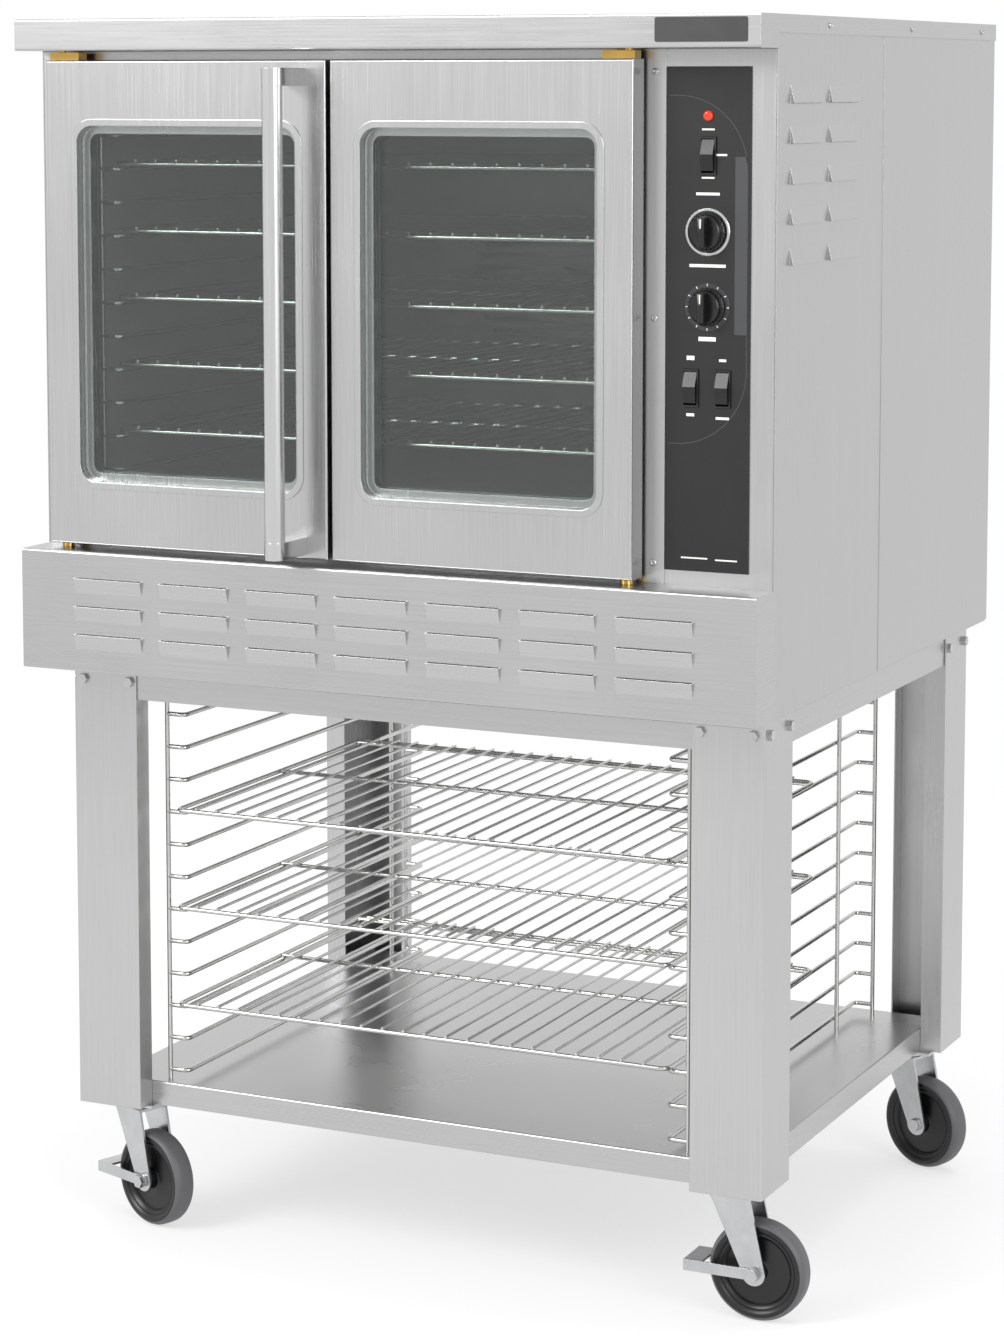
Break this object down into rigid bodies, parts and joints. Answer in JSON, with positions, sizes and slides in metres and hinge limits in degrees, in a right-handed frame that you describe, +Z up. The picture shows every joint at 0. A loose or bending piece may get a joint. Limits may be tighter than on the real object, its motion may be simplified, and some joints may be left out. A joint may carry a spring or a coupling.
{
  "type": "convection oven on a rack stand",
  "caption": "Full-size gas convection oven with two glass doors, on an open stand with wire racks, a bottom shelf and swivel casters.",
  "frame": {"origin": "on the floor under the middle of the object's bounding box", "axes": "+X to the right as seen by the cook, -Y to the front, +Z up"},
  "size_m": [1.0368, 1.058, 1.607],
  "materials": {
    "stainless_casing": "vertical grain, satin",
    "stainless_door": "satin",
    "stainless_liner": "satin",
    "stainless_stand": "vertical grain, satin",
    "handle_steel": "satin",
    "galvanised_steel": "spangled, matt",
    "cavity_enamel": "vitreous enamel, grey",
    "mineral_wool": "loose felt",
    "silicone_seal": "matt",
    "motor_paint": "semi-gloss",
    "burner_iron": "as cast",
    "inlet_plastic": "matt",
    "panel_black": "satin powder coat",
    "lamp_lens": "clear red",
    "bezel_metal": "turned",
    "switch_plastic": "gloss",
    "knob_plastic": "semi-gloss",
    "nameplate_foil": "dark, satin",
    "door_glass": "clear, tempered",
    "hinge_brass": "turned",
    "chain_steel": "oiled",
    "rack_chrome": "bright nickel",
    "bolt_steel": "bright",
    "caster_zinc": "zinc plated",
    "caster_rubber": "moulded"
  },
  "bodies": {
    "oven_and_stand": {"side_panels": "stainless_casing", "top_cap": "stainless_casing", "front_frame": "stainless_casing", "lower_front_panel": "stainless_casing", "base_pan": "stainless_casing", "back_panel": "stainless_casing", "stand_legs": "stainless_stand", "stand_top_frame": "stainless_stand", "bottom_shelf": "stainless_stand", "motor_cover": "galvanised_steel", "exhaust_vent": "galvanised_steel", "control_housing": "galvanised_steel", "cavity_liner": "cavity_enamel", "fan_baffle": "cavity_enamel", "insulation": "mineral_wool", "door_gasket": "silicone_seal", "fan_motor": "motor_paint", "gas_burners": "burner_iron", "power_inlet": "inlet_plastic", "control_panel": "panel_black", "indicator_lamp": "lamp_lens", "control_bezels": "bezel_metal", "nameplate": "nameplate_foil", "door_chain": "chain_steel", "oven_rack_guides": "rack_chrome", "oven_racks": "rack_chrome", "stand_rack_guide_left": "rack_chrome", "stand_rack_guide_right": "rack_chrome", "stand_bolts": "bolt_steel", "caster_plates": "caster_zinc"},
    "left_door": {"left_door_shell": "stainless_door", "left_door_liner": "stainless_liner", "left_window_frame": "stainless_door", "left_door_glass": "door_glass", "left_hinge_pins": "hinge_brass", "door_handle": "handle_steel"},
    "right_door": {"right_door_shell": "stainless_door", "right_door_liner": "stainless_liner", "right_window_frame": "stainless_door", "right_door_glass": "door_glass", "right_hinge_pins": "hinge_brass"},
    "blower": {"blower_wheel": "galvanised_steel"},
    "thermostat": {"thermostat_knob": "knob_plastic"},
    "timer": {"timer_knob": "knob_plastic"},
    "upper_switch": {"rocker_upper": "switch_plastic"},
    "left_switch": {"rocker_left": "switch_plastic"},
    "right_switch": {"rocker_right": "switch_plastic"},
    "upper_rack": {"stand_rack_upper": "rack_chrome"},
    "middle_rack": {"stand_rack_middle": "rack_chrome"},
    "lower_rack": {"stand_rack_lower": "rack_chrome"},
    "front_left_fork": {"caster_fork_front_left": "caster_zinc"},
    "front_left_wheel": {"caster_wheel_front_left": "caster_rubber"},
    "front_right_fork": {"caster_fork_front_right": "caster_zinc"},
    "front_right_wheel": {"caster_wheel_front_right": "caster_rubber"},
    "rear_left_fork": {"caster_fork_rear_left": "caster_zinc"},
    "rear_left_wheel": {"caster_wheel_rear_left": "caster_rubber"},
    "rear_right_fork": {"caster_fork_rear_right": "caster_zinc"},
    "rear_right_wheel": {"caster_wheel_rear_right": "caster_rubber"},
    "front_left_brake": {"brake_lever_front_left": "caster_zinc"},
    "front_right_brake": {"brake_lever_front_right": "caster_zinc"}
  },
  "joints": [
    {"name": "left_door_swing", "type": "hinge", "parent": "oven_and_stand", "child": "left_door", "pos_m": [-0.46965, -0.43715, 0.927], "axis": [0, 0, -1], "range_deg": [0, 115]},
    {"name": "right_door_swing", "type": "hinge", "parent": "oven_and_stand", "child": "right_door", "pos_m": [0.31835, -0.43715, 0.927], "axis": [0, 0, 1], "range_deg": [0, 115]},
    {"name": "blower_spin", "type": "hinge", "parent": "oven_and_stand", "child": "blower", "pos_m": [-0.07565, 0.27585, 1.248], "axis": [0, 1, 0], "continuous": true},
    {"name": "thermostat_turn", "type": "hinge", "parent": "oven_and_stand", "child": "thermostat", "pos_m": [0.41285, -0.41615, 1.351], "axis": [0, 1, 0], "range_deg": [0, 300]},
    {"name": "timer_turn", "type": "hinge", "parent": "oven_and_stand", "child": "timer", "pos_m": [0.41285, -0.41615, 1.262], "axis": [0, 1, 0], "range_deg": [0, 300]},
    {"name": "upper_switch_tilt", "type": "hinge", "parent": "oven_and_stand", "child": "upper_switch", "pos_m": [0.41285, -0.41115, 1.441], "axis": [1, 0, 0], "range_deg": [0, 14]},
    {"name": "left_switch_tilt", "type": "hinge", "parent": "oven_and_stand", "child": "left_switch", "pos_m": [0.39185, -0.41115, 1.165], "axis": [1, 0, 0], "range_deg": [0, 14]},
    {"name": "right_switch_tilt", "type": "hinge", "parent": "oven_and_stand", "child": "right_switch", "pos_m": [0.43285, -0.41115, 1.165], "axis": [1, 0, 0], "range_deg": [0, 14]},
    {"name": "upper_rack_slide", "type": "slide", "parent": "oven_and_stand", "child": "upper_rack", "axis": [0, -1, 0], "range_m": [0, 0.35]},
    {"name": "middle_rack_slide", "type": "slide", "parent": "oven_and_stand", "child": "middle_rack", "axis": [0, -1, 0], "range_m": [0, 0.35]},
    {"name": "lower_rack_slide", "type": "slide", "parent": "oven_and_stand", "child": "lower_rack", "axis": [0, -1, 0], "range_m": [0, 0.35]},
    {"name": "front_left_swivel", "type": "hinge", "parent": "oven_and_stand", "child": "front_left_fork", "pos_m": [-0.43715, -0.32715, 0.1575], "axis": [0, 0, 1], "continuous": true},
    {"name": "front_left_roll", "type": "hinge", "parent": "front_left_fork", "child": "front_left_wheel", "pos_m": [-0.40708, -0.33809, 0.0635], "axis": [0.342, 0.9397, 0], "continuous": true},
    {"name": "front_left_brake_press", "type": "hinge", "parent": "front_left_fork", "child": "front_left_brake", "pos_m": [-0.40708, -0.33809, 0.0635], "axis": [-0.342, -0.9397, 0], "range_deg": [0, 20]},
    {"name": "front_right_swivel", "type": "hinge", "parent": "oven_and_stand", "child": "front_right_fork", "pos_m": [0.42285, -0.32715, 0.1575], "axis": [0, 0, 1], "continuous": true},
    {"name": "front_right_roll", "type": "hinge", "parent": "front_right_fork", "child": "front_right_wheel", "pos_m": [0.45485, -0.32715, 0.0635], "axis": [0, 1, 0], "continuous": true},
    {"name": "front_right_brake_press", "type": "hinge", "parent": "front_right_fork", "child": "front_right_brake", "pos_m": [0.45485, -0.32715, 0.0635], "axis": [0, -1, 0], "range_deg": [0, 20]},
    {"name": "rear_left_swivel", "type": "hinge", "parent": "oven_and_stand", "child": "rear_left_fork", "pos_m": [-0.43715, 0.34685, 0.1575], "axis": [0, 0, 1], "continuous": true},
    {"name": "rear_left_roll", "type": "hinge", "parent": "rear_left_fork", "child": "rear_left_wheel", "pos_m": [-0.40708, 0.33591, 0.0635], "axis": [0.342, 0.9397, 0], "continuous": true},
    {"name": "rear_right_swivel", "type": "hinge", "parent": "oven_and_stand", "child": "rear_right_fork", "pos_m": [0.42285, 0.34685, 0.1575], "axis": [0, 0, 1], "continuous": true},
    {"name": "rear_right_roll", "type": "hinge", "parent": "rear_right_fork", "child": "rear_right_wheel", "pos_m": [0.45292, 0.33591, 0.0635], "axis": [0.342, 0.9397, 0], "continuous": true}
  ],
  "couplings": [
    {"joint": "right_door_swing", "follows": "left_door_swing", "ratio": 1}
  ]
}
